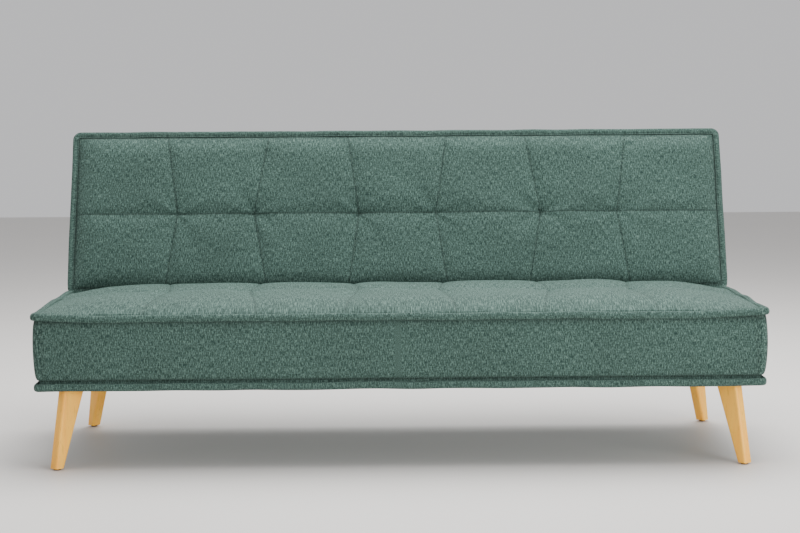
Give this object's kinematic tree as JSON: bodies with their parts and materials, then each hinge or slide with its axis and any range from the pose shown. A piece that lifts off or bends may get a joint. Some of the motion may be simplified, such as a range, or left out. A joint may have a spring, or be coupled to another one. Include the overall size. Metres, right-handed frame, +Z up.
{
  "type": "sofa with wooden legs",
  "caption": "Armless folding sofa in green woven fabric, with a tufted backrest that hinges down flat and splayed tapered wooden legs.",
  "frame": {"origin": "on the floor, under the middle of the sofa's bounding box", "axes": "+Z up, -Y towards the front edge of the seat, +X to the right seen from the front"},
  "size_m": [1.8, 0.7812, 0.8138],
  "materials": {
    "green_weave": "matte",
    "beech": "satin",
    "frame_timber": "matte",
    "zinc_steel": "satin",
    "spring_steel": "satin",
    "foam": "matte",
    "felt_pad": "matte",
    "black_lining": "matte",
    "elastic_webbing": "matte",
    "tufting_cord": "matte",
    "glide_plastic": "matte"
  },
  "bodies": {
    "seat": {"foot_glides": "glide_plastic", "hinge_pins": "zinc_steel", "hinge_seat_bolts": "zinc_steel", "hinge_seat_plate_left": "zinc_steel", "hinge_seat_plate_right": "zinc_steel", "leg_front_left": "beech", "leg_front_right": "beech", "leg_hanger_bolts": "zinc_steel", "leg_plate_front_left": "zinc_steel", "leg_plate_front_right": "zinc_steel", "leg_plate_rear_left": "zinc_steel", "leg_plate_rear_right": "zinc_steel", "leg_plate_screws": "zinc_steel", "leg_rear_left": "beech", "leg_rear_right": "beech", "pawl_pins": "zinc_steel", "pawl_spring_left": "spring_steel", "pawl_spring_right": "spring_steel", "seat_bottom_welt": "green_weave", "seat_boxing_front": "green_weave", "seat_boxing_left": "green_weave", "seat_boxing_rear": "green_weave", "seat_boxing_right": "green_weave", "seat_corner_blocks": "frame_timber", "seat_cover_top": "green_weave", "seat_cross_rail_1": "frame_timber", "seat_cross_rail_2": "frame_timber", "seat_dust_cover": "black_lining", "seat_felt": "felt_pad", "seat_foam": "foam", "seat_rail_front": "frame_timber", "seat_rail_left": "frame_timber", "seat_rail_rear": "frame_timber", "seat_rail_right": "frame_timber", "seat_spring_clips": "spring_steel", "seat_springs": "spring_steel", "seat_top_flange": "green_weave"},
    "backrest": {"back_boxing_bottom": "green_weave", "back_boxing_left": "green_weave", "back_boxing_right": "green_weave", "back_boxing_top": "green_weave", "back_cover_front": "green_weave", "back_cover_rear": "green_weave", "back_cross_rail_1": "frame_timber", "back_cross_rail_2": "frame_timber", "back_foam": "foam", "back_front_flange": "green_weave", "back_rail_bottom": "frame_timber", "back_rail_left": "frame_timber", "back_rail_right": "frame_timber", "back_rail_top": "frame_timber", "back_rear_welt": "green_weave", "back_tuft_ties": "tufting_cord", "back_webbing": "elastic_webbing", "hinge_back_arm_left": "zinc_steel", "hinge_back_arm_right": "zinc_steel", "hinge_back_bolts": "zinc_steel"},
    "left_pawl": {"pawl_left": "zinc_steel"},
    "right_pawl": {"pawl_right": "zinc_steel"}
  },
  "joints": [
    {"name": "backrest_hinge", "type": "hinge", "parent": "seat", "child": "backrest", "pos_m": [0, 0.20963, 0.31701], "axis": [1, 0, 0], "range_deg": [-75, 5]},
    {"name": "left_pawl_pivot", "type": "hinge", "parent": "seat", "child": "left_pawl", "pos_m": [-0.848, 0.15772, 0.30212], "axis": [1, 0, 0], "range_deg": [-18, 0]},
    {"name": "right_pawl_pivot", "type": "hinge", "parent": "seat", "child": "right_pawl", "pos_m": [0.848, 0.15772, 0.30212], "axis": [1, 0, 0], "range_deg": [-18, 0]}
  ]
}
